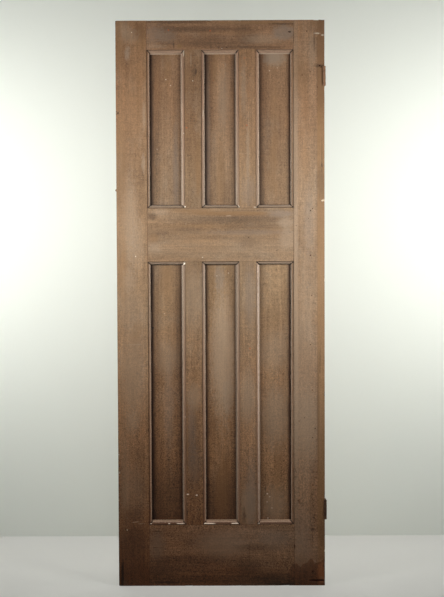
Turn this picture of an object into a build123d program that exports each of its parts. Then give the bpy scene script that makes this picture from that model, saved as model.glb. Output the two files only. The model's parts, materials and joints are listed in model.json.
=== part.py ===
from build123d import *
from math import atan, degrees, radians, tan
import os

# Framed and panelled timber door leaf, three short panels over three long ones, with two butt
# hinges let into its right edge. Millimetres. X runs to the right as seen from the front, Y from
# the front face to the back face, and Z up. The origin is the middle of the leaf's foot.

# The leaf, outside to outside
leaf_width = 748.0
leaf_height = 2040.0
leaf_thickness = 41.0

# Flats of the framing members, without the mouldings worked on their edges
stile_flat = 111.0
muntin_flat = 60.0
top_rail_flat = 104.0
lock_rail_flat = 192.0
bottom_rail_flat = 224.0
lower_opening_height = 954.0

# Moulding stuck on the edges round each panel, from the flat towards the panel
quirk_width = 1.5
quirk_depth = 3.5
ovolo_radius = 7.5
ovolo_drop = 1.2
ovolo_step = 1.5
lip_width = 2.0
mitre_gap = 0.3

# Panels, which float in the groove between the front and back mouldings
panel_thickness = 9.8
groove_clearance = 0.1
panel_side_gap = 1.0
panel_top_gap = 2.0

# Mortise and tenon joints
tenon_thickness = 13.0
joint_clearance = 0.1
haunch_length = 12.0
top_haunch = 38.0
lock_tenon = 64.0
bottom_haunch = 40.0
bottom_tenon = 60.0
stub_length = 30.0
stub_shoulder = 7.0
mortise_end_gap = 1.0
wedge_length = 55.0
wedge_head = 6.0
wedge_tip = 1.0

# Butt hinges, folded shut on the right edge with their barrels in front of the leaf
hinge_length = 70.0
leaf_seat_width = 26.0
hinge_plate = 2.5
closed_gap = 1.0
knuckle_radius = 5.0
knuckle_count = 5
knuckle_gap = 0.3
knuckle_clearance = 0.4
barrel_stand_off = 0.8
pin_radius = 2.5
pin_clearance = 0.05
housing_clearance = 0.3
upper_let_in = 4.2
lower_let_in = 1.7
upper_hinge_from_top = 165.0
lower_hinge_from_foot = 244.0

# Countersunk wood screws in the hinges
screw_radius = 2.1
screw_head_radius = 3.9
screw_head_height = 1.8
screw_length = 30.0
screw_sides = 16
screw_clearance = 0.05
screw_sunk = 0.1
shank_hole_radius = 2.4
slot_width = 0.9
slot_depth = 0.8
screw_from_end = 11.0
near_screw_from_face = 10.0
far_screw_from_face = 17.0

# Forged nail driven into the left edge
nail_above_lock_rail = 66.0
nail_head_radius = 6.5
nail_head_sides = 8
nail_head_rise = 5.5
nail_head_taper = 35.0
nail_shank = 3.2
nail_length = 24.0
nail_taper = 2.5
nail_clearance = 0.05

# Places worked out from the sizes above
front_face = -leaf_thickness / 2
outer_edge = leaf_width / 2
stile_line = outer_edge - stile_flat
groove_width = panel_thickness + 2 * groove_clearance
groove_face = (leaf_thickness - groove_width) / 2
moulding_width = quirk_width + ovolo_radius + lip_width
opening_width = (2 * stile_line - 2 * muntin_flat) / 3
column_pitch = opening_width + muntin_flat
columns = [
    (-stile_line + i * column_pitch, -stile_line + i * column_pitch + opening_width)
    for i in range(3)
]
lock_rail_low = bottom_rail_flat + lower_opening_height
lock_rail_high = lock_rail_low + lock_rail_flat
top_rail_low = leaf_height - top_rail_flat
rows = {
    "lower": (bottom_rail_flat, lock_rail_low),
    "upper": (lock_rail_high, top_rail_low),
}
rail_spans = {
    "top_rail": (top_rail_low, leaf_height),
    "lock_rail": (lock_rail_low, lock_rail_high),
    "bottom_rail": (0.0, bottom_rail_flat),
}
rail_tenons = {
    "top_rail": [(top_rail_low, leaf_height - top_haunch)],
    "lock_rail": [
        (lock_rail_low, lock_rail_low + lock_tenon),
        (lock_rail_high - lock_tenon, lock_rail_high),
    ],
    "bottom_rail": [
        (bottom_haunch, bottom_haunch + bottom_tenon),
        (bottom_rail_flat - bottom_tenon, bottom_rail_flat),
    ],
}
nail_height = lock_rail_high + nail_above_lock_rail
barrel_y = front_face - barrel_stand_off - knuckle_radius
seat_end = front_face + leaf_seat_width
hinges = {
    "upper": {
        "low": leaf_height - upper_hinge_from_top - hinge_length,
        "axis_x": outer_edge - upper_let_in + hinge_plate + closed_gap / 2,
        "let_in": upper_let_in,
    },
    "lower": {
        "low": lower_hinge_from_foot,
        "axis_x": outer_edge - lower_let_in + hinge_plate + closed_gap / 2,
        "let_in": lower_let_in,
    },
}


def block(x_range, y_range, z_range):
    """A square-cornered block between two corners, given in any order along each axis."""
    ranges = [sorted(pair) for pair in (x_range, y_range, z_range)]
    size = [high - low for low, high in ranges]
    centre = [(high + low) / 2 for low, high in ranges]
    return Pos(*centre) * Box(*size)


def across_thickness(width):
    """The Y range of something of this width in the middle of the leaf's thickness."""
    return (-width / 2, width / 2)


def moulding_section():
    """Section of the moulding: X runs from the flat to the panel, Y from the face into the leaf."""
    ovolo_edge = quirk_width + ovolo_radius
    ovolo_foot = ovolo_drop + ovolo_radius
    step_foot = ovolo_foot + ovolo_step
    straight_runs = Polyline(
        (ovolo_edge, ovolo_foot),
        (ovolo_edge, step_foot),
        (moulding_width, step_foot),
        (moulding_width, groove_face),
        (0, groove_face),
        (0, quirk_depth),
        (quirk_width, quirk_depth),
        (quirk_width, ovolo_drop),
    )
    crown = CenterArc((quirk_width, ovolo_foot), ovolo_radius, -90, 90)
    return make_face([straight_runs, crown])


def moulding_run(middle, inward, length, face):
    """One mitred run along the edge of an opening.

    middle is the middle of the flat's edge, inward points at the opening, and face is -1 for the
    front of the leaf and 1 for its back.
    """
    into_leaf = Vector(0, -face, 0)
    along = inward.cross(into_leaf)
    origin = Vector(middle.X, face * leaf_thickness / 2, middle.Z)
    section = Plane(origin=origin, x_dir=inward, z_dir=along) * moulding_section()
    run = extrude(section, amount=length / 2, both=True)
    outer = length / 2 - mitre_gap
    inner = outer - moulding_width
    mitred_outline = Polyline(
        (-outer, 0), (outer, 0), (inner, moulding_width), (-inner, moulding_width), close=True
    )
    mitres = Plane(origin=origin, x_dir=along, z_dir=into_leaf) * make_face(mitred_outline)
    return run & extrude(mitres, amount=groove_face)


def upright_mouldings(x, inward, row):
    """The front and back runs along an upright edge beside the openings of one row."""
    low, high = rows[row]
    middle = Vector(x, 0, (low + high) / 2)
    return [moulding_run(middle, Vector(inward, 0, 0), high - low, face) for face in (-1, 1)]


def level_mouldings(z, inward):
    """The front and back runs along a level edge, one pair for each of the three openings."""
    return [
        moulding_run(Vector((left + right) / 2, 0, z), Vector(0, 0, inward), right - left, face)
        for left, right in columns
        for face in (-1, 1)
    ]


def wedge(side, tenon_face, outward, thickness):
    """A wedge driven in from the leaf's edge beside one face of a through tenon.

    side is -1 at the left edge and 1 at the right, tenon_face is the height of the tenon's face,
    and outward is 1 above the tenon and -1 below it.
    """
    head_x = side * outer_edge
    tip_x = side * (outer_edge - wedge_length)
    outline = Polyline(
        (head_x, tenon_face),
        (head_x, tenon_face + outward * wedge_head),
        (tip_x, tenon_face + outward * wedge_tip),
        (tip_x, tenon_face),
        close=True,
    )
    return extrude(Plane.XZ * make_face(outline), amount=thickness / 2, both=True)


def joint_wedges(rail, side, thickness):
    """Both wedges of each tenon at one end of a rail."""
    return [
        wedge(side, face, outward, thickness)
        for low, high in rail_tenons[rail]
        for face, outward in ((low, -1), (high, 1))
    ]


def tenons(rail, side):
    """The haunch and through tenons at one end of a rail."""
    low, high = rail_spans[rail]
    shoulder = side * stile_line
    thickness = across_thickness(tenon_thickness)
    haunch = block((shoulder, side * (stile_line + haunch_length)), thickness, (low, high))
    through = [
        block((shoulder, side * outer_edge), thickness, span) for span in rail_tenons[rail]
    ]
    return [haunch, *through]


def mortises(rail, side):
    """The haunch groove, the through mortises and the flares for their wedges in a stile."""
    low, high = rail_spans[rail]
    shoulder = side * stile_line
    thickness = across_thickness(tenon_thickness + 2 * joint_clearance)
    groove_end = side * (stile_line + haunch_length + mortise_end_gap)
    groove = block(
        (shoulder, groove_end), thickness, (low - joint_clearance, high + joint_clearance)
    )
    through = [
        block(
            (shoulder, side * outer_edge),
            thickness,
            (tenon_low - joint_clearance, tenon_high + joint_clearance),
        )
        for tenon_low, tenon_high in rail_tenons[rail]
    ]
    return [groove, *through, *joint_wedges(rail, side, tenon_thickness + 2 * joint_clearance)]


def stub(x_middle, shoulder, outward, growth, end_gap):
    """A muntin's stub tenon or, grown by the clearance, the mortise for it."""
    half_width = muntin_flat / 2 - stub_shoulder + growth
    return block(
        (x_middle - half_width, x_middle + half_width),
        across_thickness(tenon_thickness + 2 * growth),
        (shoulder, shoulder + outward * (stub_length + end_gap)),
    )


def muntin_middles():
    """The X of the middle of each muntin."""
    return [(columns[i][1] + columns[i + 1][0]) / 2 for i in range(2)]


def stile(side):
    """A stile: a full-height board with mortises for three rails and a moulding by each row."""
    board = block(
        (side * stile_line, side * outer_edge), across_thickness(leaf_thickness), (0, leaf_height)
    )
    for rail in rail_spans:
        board -= mortises(rail, side)
    for row in rows:
        board += upright_mouldings(side * stile_line, -side, row)
    return board


def rail(name):
    """A rail: tenons at both ends, stub mortises for the muntins, mouldings by its openings."""
    low, high = rail_spans[name]
    board = block((-stile_line, stile_line), across_thickness(leaf_thickness), (low, high))
    board += tenons(name, -1) + tenons(name, 1)
    for row_low, row_high in rows.values():
        if low == row_high:
            board = joined_edge(board, low, -1)
        if high == row_low:
            board = joined_edge(board, high, 1)
    return board


def joined_edge(board, edge, outward):
    """A rail with the mouldings and the stub mortises along its upper or lower edge."""
    board += level_mouldings(edge, outward)
    board -= [
        stub(x, edge, -outward, joint_clearance, mortise_end_gap) for x in muntin_middles()
    ]
    return board


def muntin(row, x_middle):
    """A muntin: a short upright with a stub tenon at each end and mouldings on both edges."""
    low, high = rows[row]
    half = muntin_flat / 2
    board = block(
        (x_middle - half, x_middle + half), across_thickness(leaf_thickness), (low, high)
    )
    board += [stub(x_middle, low, -1, 0, 0), stub(x_middle, high, 1, 0, 0)]
    board += upright_mouldings(x_middle - half, -1, row)
    board += upright_mouldings(x_middle + half, 1, row)
    return board


def panel(row, column):
    """A flat panel that stands on the groove's floor and is loose at its sides and top."""
    low, high = rows[row]
    left, right = column
    return block(
        (left + panel_side_gap, right - panel_side_gap),
        across_thickness(panel_thickness),
        (low, high - panel_top_gap),
    )


def screw_places(low, side):
    """The Y and Z of a hinge leaf's three holes, staggered so that no two holes of a shut hinge
    face each other: the outer two near the barrel in the door's leaf, the middle one in the
    frame's.
    """
    near = front_face + near_screw_from_face
    far = front_face + far_screw_from_face
    outer, middle = (near, far) if side < 0 else (far, near)
    return [
        (outer, low + screw_from_end),
        (middle, low + hinge_length / 2),
        (outer, low + hinge_length - screw_from_end),
    ]


def along_x(x, y, z, inward):
    """A place on a hinge leaf whose own Z points along X, away from the other leaf."""
    return Plane(origin=(x, y, z), x_dir=(0, 1, 0), z_dir=(inward, 0, 0))


def countersink(radius, neck_radius):
    """A many-sided cone that narrows from the origin upwards, as steeply as a screw's head."""
    slope = degrees(atan((screw_head_radius - screw_radius) / screw_head_height))
    height = (radius - neck_radius) / tan(radians(slope))
    rim = RegularPolygon(radius, screw_sides)
    return extrude(rim, amount=height, taper=slope)


def screw_hole(place):
    """A countersunk hole, cut down from the face that the screw is driven through."""
    from_face = (Align.CENTER, Align.CENTER, Align.MIN)
    rim_radius = screw_head_radius + screw_clearance
    mouth = extrude(RegularPolygon(rim_radius, screw_sides), amount=screw_sunk)
    cone = Pos(0, 0, screw_sunk) * countersink(rim_radius, shank_hole_radius)
    shank = Cylinder(shank_hole_radius, hinge_plate, align=from_face)
    return place * (shank + mouth + cone)


def screw_shank(length, growth):
    """A screw's shank or, grown by the clearance, the pilot hole for it, up from the origin."""
    return extrude(RegularPolygon(screw_radius + growth, screw_sides), amount=length)


def screw(place):
    """A slotted countersunk wood screw standing in its hole."""
    head = countersink(screw_head_radius, screw_radius)
    shank = screw_shank(screw_length - screw_sunk, 0)
    slot = Box(2 * screw_head_radius, slot_width, 2 * slot_depth)
    return place * Pos(0, 0, screw_sunk) * (shank + head - slot)


def knuckle_spans(low, first):
    """The Z ranges of every other knuckle, from the first one given."""
    pitch = (hinge_length + knuckle_gap) / knuckle_count
    return [
        (low + i * pitch, low + (i + 1) * pitch - knuckle_gap)
        for i in range(first, knuckle_count, 2)
    ]


def hinge_leaf(hinge, side):
    """One leaf: a plate, its knuckles round the pin, and three countersunk holes.

    side is -1 for the leaf that is let into the door and 1 for the one that goes to the frame.
    """
    low, axis_x = hinge["low"], hinge["axis_x"]
    plate_x = (axis_x + side * closed_gap / 2, axis_x + side * (closed_gap / 2 + hinge_plate))
    plate_start = barrel_y + knuckle_radius + knuckle_clearance
    plate = block(plate_x, (plate_start, seat_end), (low, low + hinge_length))
    for span in knuckle_spans(low, 0 if side < 0 else 1):
        barrel = Pos(axis_x, barrel_y, sum(span) / 2) * Cylinder(
            knuckle_radius, span[1] - span[0]
        )
        plate += [barrel, block(plate_x, (barrel_y, plate_start), span)]
    middle = low + hinge_length / 2
    bore = Cylinder(pin_radius + pin_clearance, 2 * hinge_length)
    plate -= Pos(axis_x, barrel_y, middle) * bore
    for y, z in screw_places(low, side):
        plate -= screw_hole(along_x(plate_x[0], y, z, side))
    return plate


def hinge_pin(hinge):
    """The pin, flush with both ends of the barrel."""
    middle = hinge["low"] + hinge_length / 2
    return Pos(hinge["axis_x"], barrel_y, middle) * Cylinder(pin_radius, hinge_length)


def hinge_screws():
    """The screws that hold the let-in leaves to the stile, three for each hinge."""
    return [
        screw(along_x(hinge["axis_x"] - closed_gap / 2, y, z, -1))
        for hinge in hinges.values()
        for y, z in screw_places(hinge["low"], -1)
    ]


def hinge_housing(hinge):
    """The recess in the stile's edge for a folded hinge, with the pilot holes of its screws."""
    low = hinge["low"]
    recess = block(
        (outer_edge - hinge["let_in"], outer_edge),
        (front_face, seat_end + housing_clearance),
        (low - housing_clearance, low + hinge_length + housing_clearance),
    )
    face_x = hinge["axis_x"] - closed_gap / 2
    pilots = [
        along_x(face_x, y, z, -1) * screw_shank(screw_length, screw_clearance)
        for y, z in screw_places(low, -1)
    ]
    return [recess, *pilots]


def from_left_edge(outward):
    """A place on the left edge at the nail, with its Z pointing out of the leaf or into it."""
    return Plane(origin=(-outer_edge, 0, nail_height), x_dir=(0, 1, 0), z_dir=(-outward, 0, 0))


def nail_shank_body(growth):
    """The nail's square shank, tapering from the leaf's edge inwards."""
    side = nail_shank + 2 * growth
    shank = extrude(Rectangle(side, side), amount=nail_length, taper=nail_taper)
    return from_left_edge(-1) * shank


def edge_nail():
    """A forged nail with a faceted head that rests on the leaf's edge."""
    rim = RegularPolygon(nail_head_radius, nail_head_sides)
    head = extrude(rim, amount=nail_head_rise, taper=nail_head_taper)
    return from_left_edge(1) * head + nail_shank_body(0)


def door_parts():
    """Every node of the leaf by name, each one solid or a list of like solids."""
    parts = {"left_stile": stile(-1) - nail_shank_body(nail_clearance)}
    right_stile = stile(1)
    for name, hinge in hinges.items():
        right_stile -= hinge_housing(hinge)
        parts[f"{name}_hinge_door_leaf"] = hinge_leaf(hinge, -1)
        parts[f"{name}_hinge_frame_leaf"] = hinge_leaf(hinge, 1)
        parts[f"{name}_hinge_pin"] = hinge_pin(hinge)
    parts["right_stile"] = right_stile
    parts["hinge_screws"] = hinge_screws()
    for name in rail_spans:
        parts[name] = rail(name)
        for end, side in (("left", -1), ("right", 1)):
            parts[f"{name}_{end}_wedges"] = joint_wedges(name, side, tenon_thickness)
    for row in rows:
        for place, x_middle in zip(("left", "right"), muntin_middles()):
            parts[f"{row}_{place}_muntin"] = muntin(row, x_middle)
        for place, column in zip(("left", "middle", "right"), columns):
            parts[f"{row}_{place}_panel"] = panel(row, column)
    parts["edge_nail"] = edge_nail()
    return parts


os.makedirs("parts", exist_ok=True)
for node, shape in door_parts().items():
    group = Compound(children=shape) if isinstance(shape, list) else shape
    export_step(group, f"parts/{node}.step")
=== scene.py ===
import bpy
import bmesh
import json
import math
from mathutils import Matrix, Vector

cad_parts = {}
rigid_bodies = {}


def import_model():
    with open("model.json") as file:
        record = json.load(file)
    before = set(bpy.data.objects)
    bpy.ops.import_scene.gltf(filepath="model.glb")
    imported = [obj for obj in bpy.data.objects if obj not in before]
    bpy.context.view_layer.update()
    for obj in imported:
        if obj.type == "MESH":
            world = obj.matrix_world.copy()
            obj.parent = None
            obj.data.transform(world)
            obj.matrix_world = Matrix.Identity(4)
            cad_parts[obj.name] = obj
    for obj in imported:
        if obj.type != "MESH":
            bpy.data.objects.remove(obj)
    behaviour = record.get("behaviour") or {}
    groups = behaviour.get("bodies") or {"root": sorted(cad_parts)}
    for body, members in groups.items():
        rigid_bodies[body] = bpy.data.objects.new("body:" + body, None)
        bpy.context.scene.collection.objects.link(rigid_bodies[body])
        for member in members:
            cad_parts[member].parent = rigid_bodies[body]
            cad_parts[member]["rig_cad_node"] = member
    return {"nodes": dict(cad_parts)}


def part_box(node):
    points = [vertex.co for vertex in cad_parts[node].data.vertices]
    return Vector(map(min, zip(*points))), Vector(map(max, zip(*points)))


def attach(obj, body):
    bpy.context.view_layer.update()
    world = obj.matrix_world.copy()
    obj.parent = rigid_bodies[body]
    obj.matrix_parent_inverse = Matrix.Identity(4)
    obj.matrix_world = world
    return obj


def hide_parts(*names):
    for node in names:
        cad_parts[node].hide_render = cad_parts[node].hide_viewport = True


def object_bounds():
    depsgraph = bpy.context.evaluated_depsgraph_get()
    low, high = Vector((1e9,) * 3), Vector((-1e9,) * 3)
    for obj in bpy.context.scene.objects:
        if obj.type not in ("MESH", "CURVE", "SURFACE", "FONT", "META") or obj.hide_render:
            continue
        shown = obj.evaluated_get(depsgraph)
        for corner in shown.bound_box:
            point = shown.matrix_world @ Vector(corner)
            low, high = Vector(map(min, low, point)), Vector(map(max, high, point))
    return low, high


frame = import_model()
cad_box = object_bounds()

# The studio. A plain pale floor, a pale wall close behind the leaf, a softbox low at either side,
# a lamp at either side that washes the wall, and a lens of about 49 mm at chest height. The wall
# shows only its front, so that the leaf can be looked at from behind as well.
wall_y = 0.77


def put(tree, kind, inputs=(), **settings):
    """Adds a shader node, with its settings, and with values or links for its inputs."""
    node = tree.nodes.new("ShaderNode" + kind)
    for name, value in settings.items():
        setattr(node, name, value)
    for name, value in dict(inputs).items():
        if isinstance(value, bpy.types.NodeSocket):
            tree.links.new(value, node.inputs[name])
        else:
            node.inputs[name].default_value = value
    return node


def new_material(name):
    """A new material, with its node tree and its shader."""
    material = bpy.data.materials.new(name)
    material.use_nodes = True
    return material, material.node_tree, material.node_tree.nodes["Principled BSDF"]


def pale_paint(name, colour, glow):
    """A matt pale finish, there from the front of its sheet only, that looks lit far away too."""
    material, tree, shader = new_material(name)
    shader.inputs["Base Color"].default_value = colour
    shader.inputs["Roughness"].default_value = 0.9
    shader.inputs["Specular IOR Level"].default_value = 0.1
    shader.inputs["Emission Color"].default_value = colour
    camera_ray = put(tree, "LightPath").outputs["Is Camera Ray"]
    seen = put(tree, "Math", {0: camera_ray, 1: glow}, operation="MULTIPLY")
    tree.links.new(seen.outputs[0], shader.inputs["Emission Strength"])
    back = put(tree, "NewGeometry").outputs["Backfacing"]
    clear = put(tree, "BsdfTransparent").outputs[0]
    one_way = put(tree, "MixShader", {0: back, 1: shader.outputs[0], 2: clear})
    tree.links.new(one_way.outputs[0], tree.nodes["Material Output"].inputs["Surface"])
    return material


def studio_sheet(name, width, depth, paint, upright_at=None):
    """A painted sheet, level at the origin or standing upright behind the leaf."""
    bpy.ops.object.select_all(action="DESELECT")
    bpy.ops.mesh.primitive_plane_add(size=1)
    sheet = bpy.context.object
    sheet.name = name
    bpy.ops.object.mode_set(mode="EDIT")
    bpy.ops.transform.resize(value=(width, depth, 1))
    if upright_at is not None:
        bpy.ops.transform.rotate(value=math.radians(-90), orient_axis="X", center_override=(0, 0, 0))
        bpy.ops.transform.translate(value=(0, upright_at, depth / 2))
    bpy.ops.mesh.subdivide(number_cuts=3)
    bpy.ops.object.mode_set(mode="OBJECT")
    sheet.data.materials.append(paint)


studio_sheet("floor", 24, 24, pale_paint("pale_floor", (0.5, 0.5, 0.475, 1), 0.45))
studio_sheet("wall", 14, 6, pale_paint("pale_wall", (0.82, 0.86, 0.80, 1), 0.06), wall_y)


def studio_lamp(name, place, target, size, power, spread=180):
    """A soft rectangular lamp that points from its place to a target."""
    bpy.ops.object.light_add(type="AREA", location=place)
    lamp = bpy.context.object
    lamp.name = name
    lamp.data.shape = "RECTANGLE"
    lamp.data.size, lamp.data.size_y = size
    lamp.data.energy = power
    lamp.data.spread = math.radians(spread)
    lamp.data.color = (1.0, 0.985, 0.96)
    lamp.visible_camera = False
    lamp.rotation_euler = (Vector(target) - lamp.location).to_track_quat("-Z", "Y").to_euler()


for side, name, height, power in ((-1, "left", 1.40, 8.3), (1, "right", 1.32, 8.9)):
    place, target = (side * 0.78, -0.78, height), (side * 0.25, 0, height)
    studio_lamp(f"{name}_softbox", place, target, (0.35, 0.5), power, 150)
    place, target = (side * 1.5, -0.1, 1.45), (side * 0.85, wall_y, 1.42)
    studio_lamp(f"{name}_wall_wash", place, target, (0.3, 1.2), 10, 150)
studio_lamp("soft_fill", (0.2, -4.2, 2.4), (0, 0, 1.2), (1.6, 1.6), 9)
studio_lamp("back_fill", (0.6, 4.0, 2.2), (0, 0, 1.0), (2.0, 2.0), 60)

world = bpy.data.worlds.new("soft_room")
bpy.context.scene.world = world
world.use_nodes = True
tree = world.node_tree
room_light = tree.nodes["Background"]
room_light.inputs["Color"].default_value = (1.0, 0.97, 0.93, 1)
room_light.inputs["Strength"].default_value = 0.03
room_seen = put(tree, "Background", {"Color": (0.80, 0.82, 0.78, 1), "Strength": 0.8})
camera_ray = put(tree, "LightPath").outputs["Is Camera Ray"]
room = put(tree, "MixShader", {0: camera_ray, 1: room_light.outputs[0], 2: room_seen.outputs[0]})
tree.links.new(room.outputs[0], tree.nodes["World Output"].inputs["Surface"])

focal_length_px, photo_height_px = 1222.17, 597
eye = (0.02147, -4.42227, 1.20172)
down, roll, pan = 2.045, 0.227, 0.218
bpy.ops.object.camera_add(
    location=eye,
    rotation=(math.radians(90 - down), math.radians(roll), math.radians(pan)),
)
camera = bpy.context.object
camera.name = "chest_height_camera"
camera.data.sensor_fit = "VERTICAL"
camera.data.sensor_height = 24
camera.data.lens = focal_length_px / photo_height_px * camera.data.sensor_height
bpy.context.scene.camera = camera
bpy.context.scene.view_settings.view_transform = "Standard"

# The stiles: two full-height softwood boards, stripped of paint long ago and left bare, so that
# grime, stains and the last of the white paint sit in the grain. The mouldings are worked on
# their inner edges, and the rails' tenons come right through them.


def number(tree, operation, *values, clamp=False):
    """One step of arithmetic on numbers or sockets."""
    inputs = {i: value for i, value in enumerate(values)}
    return put(tree, "Math", inputs, operation=operation, use_clamp=clamp).outputs[0]


def ramp(tree, value, low, high, from_value=0.0, to_value=1.0):
    """A smooth step from one value to another while the input goes from low to high."""
    ends = {"From Min": low, "From Max": high, "To Min": from_value, "To Max": to_value}
    inputs = {"Value": value, **ends}
    return put(tree, "MapRange", inputs, interpolation_type="SMOOTHSTEP").outputs["Result"]


def tint(tree, mask, under, over, how="MIX"):
    """Lays one colour over another where the mask is high."""
    under, over = ((*shade, 1) if type(shade) is tuple else shade for shade in (under, over))
    return put(tree, "Mix", {0: mask, 6: under, 7: over}, data_type="RGBA", blend_type=how).outputs[2]


def lay(tree, colour, shade, mask, strength, how="MIX"):
    """Lays a shade over a colour at part of its strength, where the mask is high."""
    return tint(tree, number(tree, "MULTIPLY", mask, strength), colour, shade, how)


def noise(tree, place, stretch, detail=3.0, roughness=0.55):
    """Noise whose features are stretched by the lengths given along each axis."""
    scaled = put(tree, "Mapping", {"Vector": place, "Scale": stretch}).outputs["Vector"]
    inputs = {"Vector": scaled, "Scale": 1.0, "Detail": detail, "Roughness": roughness}
    return put(tree, "TexNoise", inputs).outputs["Fac"]


def new_group(name, inputs, outputs):
    """A shader node group with named inputs, given as (name, kind, default), and outputs."""
    group = bpy.data.node_groups.new(name, "ShaderNodeTree")
    for socket_name, kind, default in inputs:
        kind = "NodeSocket" + kind
        socket = group.interface.new_socket(socket_name, in_out="INPUT", socket_type=kind)
        if default is not None:
            socket.default_value = default
    for socket_name, kind in outputs:
        kind = "NodeSocket" + kind
        group.interface.new_socket(socket_name, in_out="OUTPUT", socket_type=kind)
    given, made = group.nodes.new("NodeGroupInput"), group.nodes.new("NodeGroupOutput")
    return group, given.outputs, made.inputs


# The figure of old softwood: soft blotches, streaks and fibres along the grain, a mottle of worn-in
# dirt, fine grit, the faint ripple that a plane leaves across the grain, growth rings about a pith
# outside the board, and pores. Z runs along the grain.
figure_parts = {
    "Broad": ((15, 15, 3.2), 4, 0.55),
    "Streaks": ((120, 120, 3.5), 3, 0.6),
    "Mottle": ((170, 170, 90), 4, 0.7),
    "Fibres": ((700, 700, 14), 3, 0.7),
    "Grit": ((260, 260, 260), 3, 0.7),
    "Ripple": ((16, 16, 300), 3, 0.6),
}
ring_spacing = 0.0034
timber_figure, given, made = new_group(
    "timber_figure",
    [("Along Grain", "Vector", None), ("Pith X", "Float", 0.05), ("Pith Y", "Float", 0.08)],
    [(name, "Float") for name in (*figure_parts, "Rings", "Pores")],
)
tree = timber_figure
wander = noise(tree, given["Along Grain"], (6, 6, 0.9), 2)
shift = number(tree, "MULTIPLY_ADD", wander, 0.03, -0.015)
axes = put(tree, "SeparateXYZ", {"Vector": given["Along Grain"]}).outputs
across = number(tree, "ADD", axes["X"], shift)
depth = number(tree, "ADD", axes["Y"], shift)
bent = put(tree, "CombineXYZ", {"X": across, "Y": depth, "Z": axes["Z"]}).outputs["Vector"]
for name, grain in figure_parts.items():
    tree.links.new(noise(tree, bent, *grain), made[name])
from_pith = [
    number(tree, "POWER", number(tree, "SUBTRACT", way, given[pith]), 2.0)
    for way, pith in ((across, "Pith X"), (depth, "Pith Y"))
]
radius = number(tree, "SQRT", number(tree, "ADD", *from_pith))
ring = number(tree, "FRACT", number(tree, "DIVIDE", radius, ring_spacing))
ring_end = ramp(tree, ring, 0.93, 1.0, 1.0, 0.0)
late_wood = number(tree, "MULTIPLY", ramp(tree, ring, 0.35, 0.9), ring_end)
tree.links.new(late_wood, made["Rings"])
tree.links.new(ramp(tree, noise(tree, bent, (1500, 1500, 45), 1), 0.62, 0.72), made["Pores"])

# One patch: a stain, a scuff, a chip, a hole or a seam, at a place on the front. Corners is 2 for a
# round patch and more for a square one.
patch_numbers = {
    "Unevenness": 0.5,
    "X": 0.0,
    "Z": 0.0,
    "Half Width": 0.01,
    "Half Height": 0.01,
    "Softness": 0.3,
    "Raggedness": 0.5,
    "Corners": 2.0,
    "Turn": 0.0,
}
patch, given, made = new_group(
    "patch",
    [("Place", "Vector", None)] + [(name, "Float", usual) for name, usual in patch_numbers.items()],
    [("Mask", "Float")],
)
tree = patch
centre = put(tree, "CombineXYZ", {"X": given["X"], "Z": given["Z"]}).outputs["Vector"]
from_centre = put(tree, "VectorMath", {0: given["Place"], 1: centre}, operation="SUBTRACT")
inputs = {"Vector": from_centre.outputs["Vector"], "Angle": given["Turn"]}
turned = put(tree, "VectorRotate", inputs, rotation_type="Y_AXIS")
axes = put(tree, "SeparateXYZ", {"Vector": turned.outputs["Vector"]}).outputs
ways = []
for axis, half in (("X", "Half Width"), ("Z", "Half Height")):
    way = number(tree, "DIVIDE", axes[axis], given[half])
    ways.append(number(tree, "POWER", number(tree, "ABSOLUTE", way), given["Corners"]))
root = number(tree, "DIVIDE", 1.0, given["Corners"])
reach = number(tree, "POWER", number(tree, "ADD", *ways), root)
uneven = number(tree, "SUBTRACT", given["Unevenness"], 0.5)
uneven = number(tree, "MULTIPLY", uneven, given["Raggedness"])
reach = number(tree, "ADD", reach, number(tree, "MULTIPLY", uneven, 4.0))
inside = number(tree, "DIVIDE", number(tree, "SUBTRACT", 1.0, reach), given["Softness"])
front = ramp(tree, axes["Y"], -0.001, 0.001, 1.0, 0.0)
tree.links.new(number(tree, "MULTIPLY", ramp(tree, inside, -0.5, 0.5), front), made["Mask"])

half_thickness = 0.0205
stile_width = 0.111
stile_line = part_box("right_stile")[1].x - stile_width
muntin_half = 0.030
muntin_middle = sum(corner.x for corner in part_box("upper_right_muntin")) / 2
row_spans = ((0.224, 1.178), (1.370, 1.936))

# Where a place lies by the six openings for the panels, which are all of one width: how far it is
# past the flats at its opening's left, right, foot and head, past the nearest of them, and off the
# mitre in the moulding.
opening_place, given, made = new_group(
    "opening_place",
    [("Place", "Vector", None)],
    [(name, "Float") for name in ("Left", "Right", "Foot", "Head", "Distance", "Mitre")],
)
tree = opening_place
axes = put(tree, "SeparateXYZ", {"Vector": given["Place"]}).outputs
half_opening = muntin_middle - muntin_half
outer = number(tree, "GREATER_THAN", number(tree, "ABSOLUTE", axes["X"]), muntin_middle)
outer = number(tree, "MULTIPLY", outer, number(tree, "SIGN", axes["X"]))
across = number(tree, "MULTIPLY_ADD", outer, -(stile_line - half_opening), axes["X"])
middles = [(low + high) / 2 for low, high in row_spans]
halves = [(high - low) / 2 for low, high in row_spans]
upper = number(tree, "GREATER_THAN", axes["Z"], (row_spans[0][1] + row_spans[1][0]) / 2)
middle = number(tree, "MULTIPLY_ADD", upper, middles[1] - middles[0], middles[0])
half = number(tree, "MULTIPLY_ADD", upper, halves[1] - halves[0], halves[0])
up = number(tree, "SUBTRACT", axes["Z"], middle)
sides = {
    "Left": number(tree, "ADD", half_opening, across),
    "Right": number(tree, "SUBTRACT", half_opening, across),
    "Foot": number(tree, "ADD", half, up),
    "Head": number(tree, "SUBTRACT", half, up),
}
for name, distance in sides.items():
    tree.links.new(distance, made[name])
upright = number(tree, "MINIMUM", sides["Left"], sides["Right"])
level = number(tree, "MINIMUM", sides["Foot"], sides["Head"])
tree.links.new(number(tree, "MINIMUM", upright, level), made["Distance"])
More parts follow.
